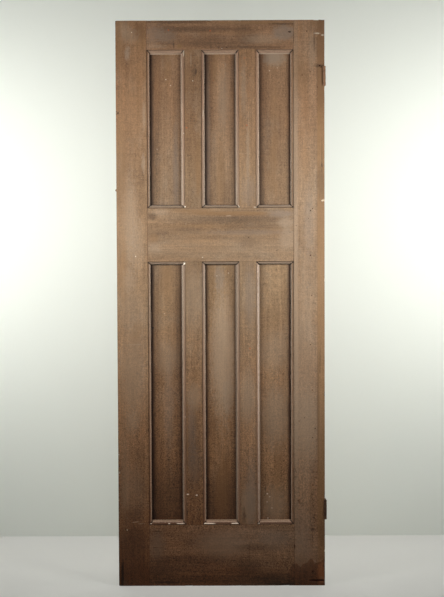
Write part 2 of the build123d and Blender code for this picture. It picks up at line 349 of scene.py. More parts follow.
tree.links.new(number(tree, "ABSOLUTE", number(tree, "SUBTRACT", upright, level)), made["Mitre"])

# What sits in the stuck moulding: dirt and painted shade in an empty quirk, old filler in a full one,
# painted paler against the groove's shade, a rubbed crown, a last line of paint on the lip, a painted
# shadow line below it, and the opened mitres.
moulding_wear, given, made = new_group(
    "moulding_wear",
    [
        ("Distance", "Float", -1.0),
        ("Mitre", "Float", 1.0),
        ("Unevenness", "Float", 0.5),
        ("Paint Left", "Float", 0.6),
        ("Quirk Filled", "Float", 0.0),
        ("Lip End", "Float", 0.0103),
    ],
    [(name, "Float") for name in ("Dirt And Shade", "Filler And Light", "Rub And Light", "Paint", "Corner", "Gap")],
)
tree = moulding_wear


def between(distance, start, end, soft):
    """High where a distance lies between two others."""
    inner = ramp(tree, distance, start - soft, start + soft)
    return number(tree, "MULTIPLY", inner, ramp(tree, distance, end - soft, end + soft, 1.0, 0.0))


# The quirk is darkened with dirt and painted shade where it is empty, and painted paler where it is full,
# old paint lifted against the groove's shade. The crown's tint is partly painted light.
quirk = between(given["Distance"], 0.0, 0.0019, 0.0005)
dirty = between(given["Distance"], -0.0004, 0.0024, 0.0005)
empty = number(tree, "SUBTRACT", 1.0, given["Quirk Filled"])
tree.links.new(number(tree, "MULTIPLY", dirty, empty), made["Dirt And Shade"])
tree.links.new(number(tree, "MULTIPLY", quirk, given["Quirk Filled"]), made["Filler And Light"])
tree.links.new(between(given["Distance"], 0.0026, 0.0105, 0.0008), made["Rub And Light"])
ragged = number(tree, "SUBTRACT", given["Unevenness"], 0.5)
ragged = number(tree, "MULTIPLY_ADD", ragged, 0.006, given["Distance"])
left_paint = ramp(tree, number(tree, "ADD", given["Unevenness"], given["Paint Left"]), 0.82, 1.08)
from_end = number(tree, "SUBTRACT", ragged, given["Lip End"])
on_lip = between(from_end, -0.0034, 0.0, 0.0004)
tree.links.new(number(tree, "MULTIPLY", on_lip, left_paint), made["Paint"])
# A painted shadow line where the lip drops to the panel
tree.links.new(ramp(tree, from_end, -0.0002, 0.0005), made["Corner"])
off_mitre = number(tree, "ADD", given["Mitre"], 0.0015)
off_mitre = number(tree, "MULTIPLY_ADD", given["Unevenness"], -0.003, off_mitre)
gap = ramp(tree, off_mitre, 0.0018, 0.0036, 1.0, 0.0)
on_moulding = ramp(tree, given["Distance"], 0.0002, 0.002)
tree.links.new(number(tree, "MULTIPLY", gap, on_moulding), made["Gap"])


def timber_tones(shade, redness=1.0, blueness=1.0):
    """The light, middle and grimed colours of a board."""
    tones = ((0.232, 0.150, 0.0855), (0.190, 0.118, 0.0640), (0.124, 0.071, 0.0365))
    return [(shade * redness * r, shade * g, shade * blueness * b) for r, g, b in tones]


def wet_line(tree, place, unevenness):
    """Where the foot of the leaf at its right corner is dark from standing in the wet."""
    outline = (
        (226, 10), (240, 50), (249, 66), (258, 75), (272, 81), (284, 69), (296, 79), (309, 84),
        (325, 98), (334, 88), (350, 84), (375, 97),
    )
    axes = put(tree, "SeparateXYZ", {"Vector": place}).outputs
    along = number(tree, "DIVIDE", number(tree, "SUBTRACT", axes["X"], 0.2), 0.2)
    curve = put(tree, "FloatCurve", {"Value": along})
    line = curve.mapping.curves[0]
    line.points[0].location = (0, 0)
    line.points[1].location = (1, 0.9)
    for x, z in outline:
        line.points.new((x - 200) / 200, z / 100)
    curve.mapping.update()
    top = number(tree, "MULTIPLY", curve.outputs["Value"], 0.1)
    top = number(tree, "ADD", top, number(tree, "MULTIPLY", unevenness, 0.004))
    above = number(tree, "SUBTRACT", axes["Z"], top)
    right_part = ramp(tree, axes["X"], 0.226, 0.262)
    return number(tree, "MULTIPLY", ramp(tree, above, -0.004, 0.0, 1.0, 0.0), right_part)


def timber_material(name, grain_axis, offset, tones, marks, moulding=None, pith=(0.05, 0.08), wet=False):
    """Stripped old softwood.

    grain_axis is the axis the board's grain runs along, and marks are patches as (colour,
    strength, x, z, half width, half height, softness, raggedness, corners, turn) in mm and
    degrees, of which the last four may be left out. moulding is how full of old paint the quirk is
    along the left and the right of an opening, where that paint is painted paler against the quirk's
    shade, the crown's colour, partly painted light set board by board against how the light falls
    on it, how much it covers, how much paint is left on the lip, how far it reaches in mm, and how
    thick it is.
    """
    material, tree, shader = new_material(name)
    place = put(tree, "TexCoord").outputs["Object"]
    turn = {"X": (0, math.radians(-90), 0), "Z": (0, 0, 0)}[grain_axis]
    along = put(tree, "Mapping", {"Vector": place, "Location": offset, "Rotation": turn})
    along = along.outputs["Vector"]
    inputs = {"Along Grain": along, "Pith X": pith[0] + offset[0], "Pith Y": pith[1] + offset[1]}
    figure = put(tree, "Group", inputs, node_tree=timber_figure).outputs
    light, middle, grimed = tones
    colour = tint(tree, ramp(tree, figure["Broad"], 0.36, 0.64), middle, light)
    blotch = noise(tree, along, (10, 10, 5), 5, 0.62)
    colour = lay(tree, colour, grimed, ramp(tree, blotch, 0.5, 0.74), 0.42)
    bloom = noise(tree, along, (17, 17, 7), 5, 0.65)
    colour = lay(tree, colour, (0.245, 0.192, 0.136), ramp(tree, bloom, 0.5, 0.72), 0.34)
    glow = noise(tree, along, (19, 19, 4), 4, 0.6)
    colour = lay(tree, colour, (0.232, 0.135, 0.066), ramp(tree, glow, 0.48, 0.7), 0.5)

    # The finer figure only lightens and darkens what lies under it, more so towards the foot
    axes = put(tree, "SeparateXYZ", {"Vector": place}).outputs
    depth = -1.91
    shares = {"Streaks": 0.7, "Mottle": 0.8, "Fibres": 0.7, "Grit": 1.25, "Ripple": 0.45, "Rings": -0.12}
    for part, share in shares.items():
        depth = number(tree, "MULTIPLY_ADD", figure[part], share, depth)
    depth = number(tree, "MULTIPLY_ADD", depth, ramp(tree, axes["Z"], 0.25, 1.15, 1.45, 1.0), 0.98)
    grit = number(tree, "SUBTRACT", figure["Grit"], 0.5)
    depth = number(tree, "MULTIPLY_ADD", grit, ramp(tree, axes["Z"], 0.25, 1.15, 1.9, 0.3), depth)
    shading = put(tree, "CombineColor", {0: depth, 1: depth, 2: depth}).outputs[0]
    colour = tint(tree, 1.0, colour, shading, "MULTIPLY")
    colour = lay(tree, colour, (0.04, 0.023, 0.012), figure["Pores"], 0.3)

    fine = noise(tree, along, (240, 240, 80), 4, 0.65)
    specks = noise(tree, place, (210, 210, 210), 2, 0.5)
    colour = lay(tree, colour, (0.42, 0.33, 0.23), ramp(tree, specks, 0.735, 0.78), 0.6)
    colour = lay(tree, colour, (0.03, 0.016, 0.009), ramp(tree, specks, 0.27, 0.235), 0.6)

    relief = number(tree, "MULTIPLY", figure["Fibres"], 0.6)
    for part, height in (("Rings", 0.5), ("Pores", -0.7), ("Mottle", 0.5)):
        relief = number(tree, "MULTIPLY_ADD", figure[part], height, relief)
    roughness = number(tree, "MULTIPLY_ADD", fine, 0.25, 0.52)
    if moulding:
        filled_left, filled_right, crown, cover, paint_left, lip_end, thick = moulding
        where = put(tree, "Group", {"Place": place}, node_tree=opening_place).outputs
        by_right = number(tree, "LESS_THAN", where["Right"], where["Left"])
        filled = filled_right - filled_left
        inputs = {
            "Distance": where["Distance"],
            "Mitre": where["Mitre"],
            "Unevenness": noise(tree, place, (260, 260, 190), 4, 0.75),
            "Paint Left": paint_left,
            "Quirk Filled": number(tree, "MULTIPLY_ADD", by_right, filled, filled_left),
            "Lip End": lip_end / 1000,
        }
        wear = put(tree, "Group", inputs, node_tree=moulding_wear).outputs
        # The moulding's wear, partly painted light and shade: dirt and painted shade in an empty quirk, a
        # full quirk painted paler against its shade, the crown's tint, paint on the lip, a painted shadow
        # line where the lip drops to the panel, and dark opened mitres
        colour = lay(tree, colour, (0.045, 0.022, 0.012), wear["Dirt And Shade"], 0.9)
        colour = tint(tree, wear["Filler And Light"], colour, (0.36, 0.265, 0.195))
        colour = lay(tree, colour, crown, wear["Rub And Light"], cover)
        colour = lay(tree, colour, (0.44, 0.345, 0.265), wear["Paint"], thick)
        colour = lay(tree, colour, (0.03, 0.016, 0.009), wear["Corner"], 0.85)
        colour = lay(tree, colour, (0.02, 0.011, 0.006), wear["Gap"], 0.92)
        relief = number(tree, "MULTIPLY_ADD", wear["Paint"], 0.8, relief)

    # The wood is painted redder towards its head and foot, away from the best-lit middle: the warm cast
    # of the shade there
    best_lit_height = 1.25
    off_middle = number(tree, "ABSOLUTE", number(tree, "SUBTRACT", axes["Z"], best_lit_height))
    colour = tint(tree, ramp(tree, off_middle, 0.15, 0.6), colour, (1.12, 1.0, 0.94), "MULTIPLY")

    painted = 0.0
    usual = (1.2, 0.4, 2, 0)
    for shade, strength, x, z, half_width, half_height, *rest in marks:
        softness, raggedness, corners, turn = (*rest, *usual[len(rest) :])
        inputs = {
            "Place": place,
            "Unevenness": fine,
            "X": x / 1000,
            "Z": z / 1000,
            "Half Width": half_width / 1000,
            "Half Height": half_height / 1000,
            "Softness": softness,
            "Raggedness": raggedness,
            "Corners": corners,
            "Turn": math.radians(turn),
        }
        mask = put(tree, "Group", inputs, node_tree=patch).outputs["Mask"]
        laid = number(tree, "MULTIPLY", mask, strength)
        colour = tint(tree, laid, colour, shade)
        if shade == chalk:
            painted = number(tree, "MAXIMUM", painted, laid)

    # Towards the foot, and most at its left, the wood is darkened: grime, and painted shade where the
    # light falls off towards the floor. Chalk and lip paint are spared most of it.
    foot = ramp(tree, axes["Z"], 0.0, 0.85, 1.0, 0.0)
    foot = number(tree, "MULTIPLY", foot, ramp(tree, axes["X"], -0.05, 0.2, 0.85, 0.5))
    foot = number(tree, "MULTIPLY", foot, number(tree, "MULTIPLY_ADD", painted, -0.7, 1.0))
    if moulding:
        unpainted = number(tree, "MULTIPLY_ADD", wear["Paint"], -0.75, 1.0)
        foot = number(tree, "MULTIPLY", foot, unpainted)
    colour = tint(tree, foot, colour, (0.69, 0.475, 0.335), "MULTIPLY")
    splashed = number(tree, "SUBTRACT", blotch, 0.5)
    splashed = number(tree, "MULTIPLY_ADD", splashed, 0.12, axes["Z"])
    splashed = ramp(tree, splashed, 0.02, 0.13, 0.95, 0.0)
    colour = tint(tree, splashed, colour, (0.55, 0.45, 0.345), "MULTIPLY")
    if wet:
        soaked = wet_line(tree, place, fine)
        colour = lay(tree, colour, (0.54, 0.39, 0.30), soaked, 0.75, "MULTIPLY")
        roughness = number(tree, "MULTIPLY_ADD", soaked, -0.15, roughness)
    tree.links.new(colour, shader.inputs["Base Color"])
    tree.links.new(roughness, shader.inputs["Roughness"])
    shader.inputs["Specular IOR Level"].default_value = 0.3
    bump = put(tree, "Bump", {"Strength": 0.5, "Distance": 0.0005, "Height": relief})
    tree.links.new(bump.outputs["Normal"], shader.inputs["Normal"])
    return material


def cut_face(name, shade, spot):
    """The finish inside a nail hole or a nick: one tone, spotted with another."""
    material, tree, shader = new_material(name)
    place = put(tree, "TexCoord").outputs["Object"]
    spots = ramp(tree, noise(tree, place, (500, 500, 500), 3), 0.42, 0.62)
    tree.links.new(tint(tree, spots, shade, spot), shader.inputs["Base Color"])
    shader.inputs["Roughness"].default_value = 0.85
    shader.inputs["Specular IOR Level"].default_value = 0.2
    return material


cut_faces = {
    "hole": cut_face("rusty_nail_hole", (0.075, 0.016, 0.007), (0.016, 0.005, 0.003)),
    "dirty": cut_face("dirty_nick", (0.10, 0.06, 0.035), (0.045, 0.025, 0.014)),
    "fresh": cut_face("fresh_nick", (0.60, 0.50, 0.37), (0.42, 0.31, 0.20)),
}


# Faces that turn by less than smooth_turn are shaded as one, and edges that turn by more than
# sharp_turn are rubbed round.
smooth_turn, sharp_turn = math.radians(35), math.radians(50)


def merged_copy(node, ending):
    """A copy of a CAD node with its loose triangles joined up, left in edit mode and all selected."""
    same_point = 0.00001
    bpy.ops.object.select_all(action="DESELECT")
    source = frame["nodes"][node]
    source.select_set(True)
    bpy.context.view_layer.objects.active = source
    bpy.ops.object.duplicate()
    piece = bpy.context.object
    piece.name = f"{node}_{ending}"
    piece.data.materials.clear()
    del piece["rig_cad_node"]
    bpy.ops.object.mode_set(mode="EDIT")
    bpy.ops.mesh.select_all(action="SELECT")
    bpy.ops.mesh.remove_doubles(threshold=same_point)
    return piece


def bore_and_gouge(piece, holes, nicks):
    """Cuts tapered nail holes and rough-sided nicks out of the front of a board."""
    hole_depth, hole_taper, hole_sides, sliver = 0.012, 1.6, 9, 0.00005
    lean, yaw, roughness = math.radians(9), math.radians(7), 0.4
    bpy.ops.object.select_all(action="DESELECT")
    tools = []
    for x, z, radius in holes:
        bpy.ops.mesh.primitive_cone_add(
            vertices=hole_sides,
            radius1=radius / 1000,
            radius2=radius / (1000 * hole_taper),
            depth=hole_depth,
            location=(x / 1000, -half_thickness, z / 1000),
            rotation=(math.radians(-90), 0, 0),
        )
        bpy.context.object.data.materials.append(cut_faces["hole"])
        tools.append(bpy.context.object)
    for x, z, half_width, half_height, depth, turn, face in nicks:
        bpy.ops.mesh.primitive_cube_add(
            size=2,
            location=(x / 1000, -half_thickness, z / 1000),
            rotation=(lean, math.radians(turn), yaw),
            scale=(half_width / 1000, depth / 1000, half_height / 1000),
        )
        bpy.ops.object.mode_set(mode="EDIT")
        bpy.ops.mesh.subdivide(number_cuts=2, fractal=roughness, seed=int(abs(x) + z))
        bpy.ops.object.mode_set(mode="OBJECT")
        bpy.context.object.data.materials.append(cut_faces[face])
        tools.append(bpy.context.object)
    bpy.ops.object.select_all(action="DESELECT")
    for tool in tools:
        tool.select_set(True)
        bpy.context.view_layer.objects.active = tool
    if len(tools) > 1:
        bpy.ops.object.join()
    tool = bpy.context.object
    cut = piece.modifiers.new("nail_holes_and_nicks", "BOOLEAN")
    cut.object = tool
    cut.operation = "DIFFERENCE"
    cut.material_mode = "TRANSFER"
    bpy.context.view_layer.objects.active = piece
    bpy.ops.object.modifier_apply(modifier=cut.name)
    bpy.data.objects.remove(tool)
    bpy.ops.object.select_all(action="DESELECT")
    piece.select_set(True)

    # Slivers that the cut leaves are closed up, and its many-sided faces split
    bpy.ops.object.mode_set(mode="EDIT")
    bpy.ops.mesh.select_all(action="SELECT")
    bpy.ops.mesh.remove_doubles(threshold=sliver)
    bpy.ops.mesh.fill_holes(sides=4)
    bpy.ops.mesh.select_face_by_sides(number=4, type="GREATER", extend=False)
    bpy.ops.mesh.quads_convert_to_tris(quad_method="BEAUTY", ngon_method="BEAUTY")
    bpy.ops.object.mode_set(mode="OBJECT")


def worn_copy(node, arris, timber, holes=(), nicks=()):
    """A copy of a CAD node with its long outer arrises rubbed round, standing for that node.

    holes are bored where nails came out, as (x, z, radius) in mm, and nicks are gouged out of the
    front, as (x, z, half width, half height, depth, turn, cut face) in mm and degrees.
    """
    piece = merged_copy(node, "worn")
    bpy.ops.mesh.select_all(action="DESELECT")
    shape = bmesh.from_edit_mesh(piece.data)
    low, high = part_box(node)
    grain = 0 if high.x - low.x > high.z - low.z else 2
    outside = [(axis, limit[axis]) for axis in (0, 2) for limit in (cad_low, cad_high)]
    flush, shortest = 0.00002, 0.012
    for edge in shape.edges:
        ends = [v.co for v in edge.verts]
        along_grain = abs(ends[0][grain] - ends[1][grain]) > 0.5 * edge.calc_length()
        on_face = along_grain and all(abs(abs(end.y) - half_thickness) < flush for end in ends)
        on_outside = any(all(abs(end[axis] - at) < flush for end in ends) for axis, at in outside)
        sharp = edge.is_manifold and edge.calc_face_angle() > sharp_turn
        edge.select_set(sharp and edge.calc_length() > shortest and (on_face or on_outside))
    bmesh.update_edit_mesh(piece.data)
    bpy.ops.mesh.bevel(offset=arris, segments=2, affect="EDGES", clamp_overlap=False)
    bpy.ops.object.mode_set(mode="OBJECT")
    piece.data.materials.append(timber)
    if holes or nicks:
        bore_and_gouge(piece, holes, nicks)
    bpy.ops.object.shade_smooth_by_angle(angle=smooth_turn)
    flats = piece.modifiers.new("flats_shaded_flat", "WEIGHTED_NORMAL")
    flats.keep_sharp = True
    bpy.ops.object.modifier_apply(modifier=flats.name)
    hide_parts(node)
    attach(piece, "door")


cad_low, cad_high = Vector(cad_box[0]), Vector(cad_box[1])

white, pale, grey = (0.60, 0.53, 0.42), (0.30, 0.222, 0.152), (0.205, 0.162, 0.128)
dark, black, orange = (0.052, 0.029, 0.016), (0.012, 0.007, 0.004), (0.33, 0.10, 0.038)
warm, seam, strip = (0.205, 0.112, 0.048), (0.06, 0.028, 0.014), (0.226, 0.124, 0.051)
rusty, chalk = (0.098, 0.044, 0.021), (1.0, 0.88, 0.73)

stile_arris = 0.0007

# Where a rail's shoulder meets a stile: a thin dark line, open in places
rail_seams = ((112, 112), (1274, 96), (1988, 52))

left_marks = [
    (rusty, 0.6, -288, 2003, 22, 30, 0.9, 0.7), (pale, 0.3, -345, 2015, 22, 26, 1.2, 0.7),
    (warm, 0.4, -281, 1985, 20, 50, 1.2, 0.5), (pale, 0.35, -325, 1985, 30, 26, 1.2, 0.7),
    ((0.3, 0.235, 0.175), 0.45, -331, 1925, 9, 22, 1, 0.9), (warm, 0.45, -363, 1960, 10, 90, 1.1, 0.4),
    (pale, 0.5, -274, 1700, 5, 45, 0.8, 0.8), (pale, 0.45, -276, 1530, 6, 30, 0.8, 0.8),
    (warm, 0.25, -300, 1760, 28, 120, 1.4, 0.5), (pale, 0.42, -328, 1330, 26, 150, 1.2, 0.6),
    (pale, 0.3, -300, 1240, 22, 90, 1.2, 0.6), (warm, 0.45, -352, 1130, 14, 120, 1.2, 0.5),
    (pale, 0.35, -330, 1110, 22, 40, 1.1, 0.8), (warm, 0.3, -350, 1480, 14, 220, 1.3, 0.5),
    (warm, 0.4, -307, 921, 18, 44, 0.35, 0.25, 2.6, -14),
    (pale, 0.45, -313, 879, 27, 1.4, 0.8, 0.7, 4, 2), (orange, 0.7, -349, 749, 2.2, 3, 0.6, 0.3),
    (dark, 0.5, -303, 776, 3, 7, 0.9, 0.6), (warm, 0.3, -330, 760, 34, 120, 1.3, 0.5),
    (pale, 0.35, -318, 760, 44, 150), (pale, 0.25, -322, 600, 22, 40, 1.2, 0.8),
    (pale, 0.25, -349, 400, 16, 130, 1.2, 0.6), (dark, 0.2, -300, 420, 20, 120, 1.2, 0.5),
    (pale, 0.3, -322, 335, 44, 90, 1.2, 0.5), (dark, 0.35, -310, 265, 26, 30, 1.1, 0.6),
    (rusty, 0.5, -322, 120, 60, 120, 1, 0.4), (pale, 0.25, -320, 1000, 46, 70),
    ((0.55, 0.42, 0.32), 0.6, -312, 234, 12, 1.5, 0.8, 0.9, 2, 8),
    ((0.5, 0.38, 0.28), 0.5, -291, 228, 12, 1.4, 0.8, 0.9, 2, 3),
    (dark, 0.3, -322, 158, 52, 50, 1.2, 0.5), (white, 0.8, -369.5, 414, 2, 2.5, 0.5, 0.4),
    (white, 0.6, -372.5, 313, 1.4, 3.5, 0.5, 0.4), (white, 0.95, -315.6, 1998.3, 1.6, 1.6, 0.5, 0.1),
    (white, 0.95, -306.5, 1197.4, 2, 2, 0.5, 0.1), (white, 0.9, -343.3, 205.1, 2.4, 2.4, 0.5, 0.1),
    (pale, 0.9, -343.1, 249, 1.6, 1.6, 0.5, 0.1), (white, 0.8, -371.5, 480, 2, 2.5, 0.5, 0.3),
    (dark, 0.85, -366.5, 1711, 1.6, 9, 0.7, 0.5, 4, -44), (black, 0.75, -361, 42, 5, 44, 0.7, 0.5, 6),
    (grey, 0.5, -352, 12, 8, 8, 0.9, 0.9),
]
left_marks += [((0.10, 0.034, 0.017), 0.6, -263.4, z, 0.9, half, 0.9, 0.9, 8) for z, half in rail_seams]
left_nicks = [
    (-368, 1712.5, 1.0, 8.5, 2.5, -44, "dirty"), (-374, 1462, 2.2, 5, 2.0, 6, "dirty"),
    (-374.4, 905, 1.6, 9, 1.5, -4, "dirty"), (-374, 560, 1.8, 6, 2.2, 10, "dirty"),
    (-373.5, 2039.5, 5, 2.6, 3.0, 30, "dirty"), (-371, 3, 7, 3.0, 4.0, -12, "dirty"),
]
left_timber = timber_material(
    "left_stile_timber",
    "Z",
    (0.31, 0.12, 0.4),
    timber_tones(0.96, 1.04, 0.94),
    left_marks,
    (0.1, 0.1, (0.19, 0.115, 0.07), 0.5, 0.6, 9.2, 0.7),
)
worn_copy("left_stile", stile_arris, left_timber, [(-349, 749, 0.9), (-317, 458, 1.5)], left_nicks)

right_marks = [
    (pale, 0.35, 300, 700, 40, 420), (pale, 0.5, 308, 580, 50, 130),
    (pale, 0.45, 270, 1080, 8, 880, 0.8, 0.3, 8), (warm, 0.35, 290, 1850, 26, 70, 1.2, 0.5),
    (pale, 0.35, 330, 1930, 12, 60, 1.2, 0.6), (grey, 0.35, 318, 1320, 16, 110, 1.3, 0.6),
    ((0.13, 0.12, 0.1), 0.55, 311, 1084, 7, 1.6, 0.8, 0.9, 2, 35),
    ((0.15, 0.135, 0.11), 0.45, 321, 1094, 11, 1.4, 0.8, 1, 2, -40), (grey, 0.35, 290, 200, 34, 90),
    ((0.3, 0.22, 0.16), 0.45, 300, 108, 46, 84, 1.6, 0.5),
    (strip, 0.6, 362.5, 965, 15, 975, 0.35, 0.06, 10), (warm, 0.35, 352, 2030, 24, 14, 0.8, 0.4),
    ((0.155, 0.08, 0.036), 0.6, 362, 1890, 15, 180, 0.5, 0.3, 6), (dark, 0.35, 362, 1460, 14, 60, 1, 0.5),
    (dark, 0.3, 364, 190, 12, 42, 1, 0.6), (dark, 0.4, 347.6, 1850, 0.9, 120, 0.9, 0.5, 8),
    (dark, 0.2, 348.5, 900, 1, 620, 0.9, 0.8, 8), (dark, 0.6, 352, 1877, 14, 5, 1, 0.8),
    (dark, 0.7, 364.5, 1548, 1.2, 70, 0.7, 0.5), (dark, 0.8, 364.5, 1522, 2.5, 8, 0.7, 0.5),
    (white, 0.6, 348, 1992, 10, 2.5, 0.8, 0.9), (white, 0.7, 368, 1986, 5, 2.5, 0.8, 0.6),
    (dark, 0.45, 338, 1960, 3, 34, 1, 0.6), (dark, 0.3, 350, 640, 5, 200, 1, 0.5),
    ((0.66, 0.36, 0.19), 0.85, 360, 42, 12, 40, 0.9, 0.8), (black, 0.9, 346, 19, 27, 3.4, 0.7, 0.4, 5),
    ((0.62, 0.45, 0.33), 0.7, 361, 29, 8, 4, 0.8, 0.9), (warm, 0.5, 330, 8, 44, 4, 0.8, 0.8),
    (dark, 0.6, 325, 32, 9, 1.2, 0.8, 0.9), (rusty, 0.65, 282, 307, 4, 9, 0.8, 0.7),
    (dark, 0.7, 267.5, 397, 5, 1.8, 0.8, 0.7), (dark, 0.6, 270, 417, 1.3, 12, 0.8, 0.7, 3, 22),
    ((0.5, 0.36, 0.27), 0.6, 337, 87, 4, 8, 0.9, 0.9), (black, 0.6, 330, 52, 4, 3.5, 0.8, 0.5),
    (black, 0.9, 264.3, 143, 1.6, 8, 0.6, 0.5), (black, 0.8, 263.4, 1975, 1.1, 18, 0.7, 0.6, 6),
    (white, 0.95, 369, 1396, 5.5, 3.2, 0.5, 0.4, 2, 16), (dark, 0.5, 357, 821, 2, 50, 0.8, 0.6),
    (dark, 0.5, 328, 168, 1.3, 34, 0.8, 0.6), (dark, 0.65, 330, 206, 7, 5, 0.8, 0.9),
    (dark, 0.6, 318, 169, 5, 1.4, 0.8, 0.8),
]
right_holes = [
    (311, 2000, 2.6), (323, 1855, 2.4), (294, 1844, 2.2), (348, 1801, 2.4), (356, 1877, 3.0),
    (362, 1872, 2.6), (324, 1360, 2.5), (330.5, 1366.6, 2.2), (323.5, 1199, 3.4),
    (327, 1054, 2.2), (323, 877, 2.5), (329, 712.5, 2.4), (339, 573, 2.6), (330, 540, 2.2),
    (331, 367, 2.5), (330, 52, 3.1), (316, 1332, 1.7), (291, 292, 2.0), (277, 312, 2.4),
    (281, 600, 2.0), (300, 612, 1.8), (272, 1306, 1.7), (303, 1271, 1.6),
]
right_marks += [(seam, 0.55, 263.4, z, 0.9, half, 0.9, 0.9, 8) for z, half in rail_seams]
right_nicks = [
    (371, 1395.5, 5.5, 2.4, 3.0, 18, "fresh"), (344, 2040.3, 9, 3.0, 4.0, 4, "fresh"),
    (366, 2040, 6, 2.2, 3.0, -8, "dirty"), (346, 19, 28, 2.4, 7.0, -1, "hole"),
    (374, 1110, 1.8, 5, 2.0, -6, "fresh"), (373.5, 700, 1.6, 9, 2.0, 5, "dirty"),
    (374, 330, 1.8, 7, 2.4, -8, "dirty"), (374, 128, 2.0, 4, 2.0, 12, "fresh"),
    (264.4, 143, 1.0, 6.5, 3.0, 3, "hole"),
]
right_timber = timber_material(
    "right_stile_timber",
    "Z",
    (-0.2, 0.3, 1.7),
    timber_tones(1.10, 0.98, 1.04),
    right_marks,
    (0.1, 0.1, (0.20, 0.125, 0.078), 0.5, 0.6, 10.9, 0.8),
    wet=True,
)
worn_copy("right_stile", stile_arris, right_timber, right_holes, right_nicks)

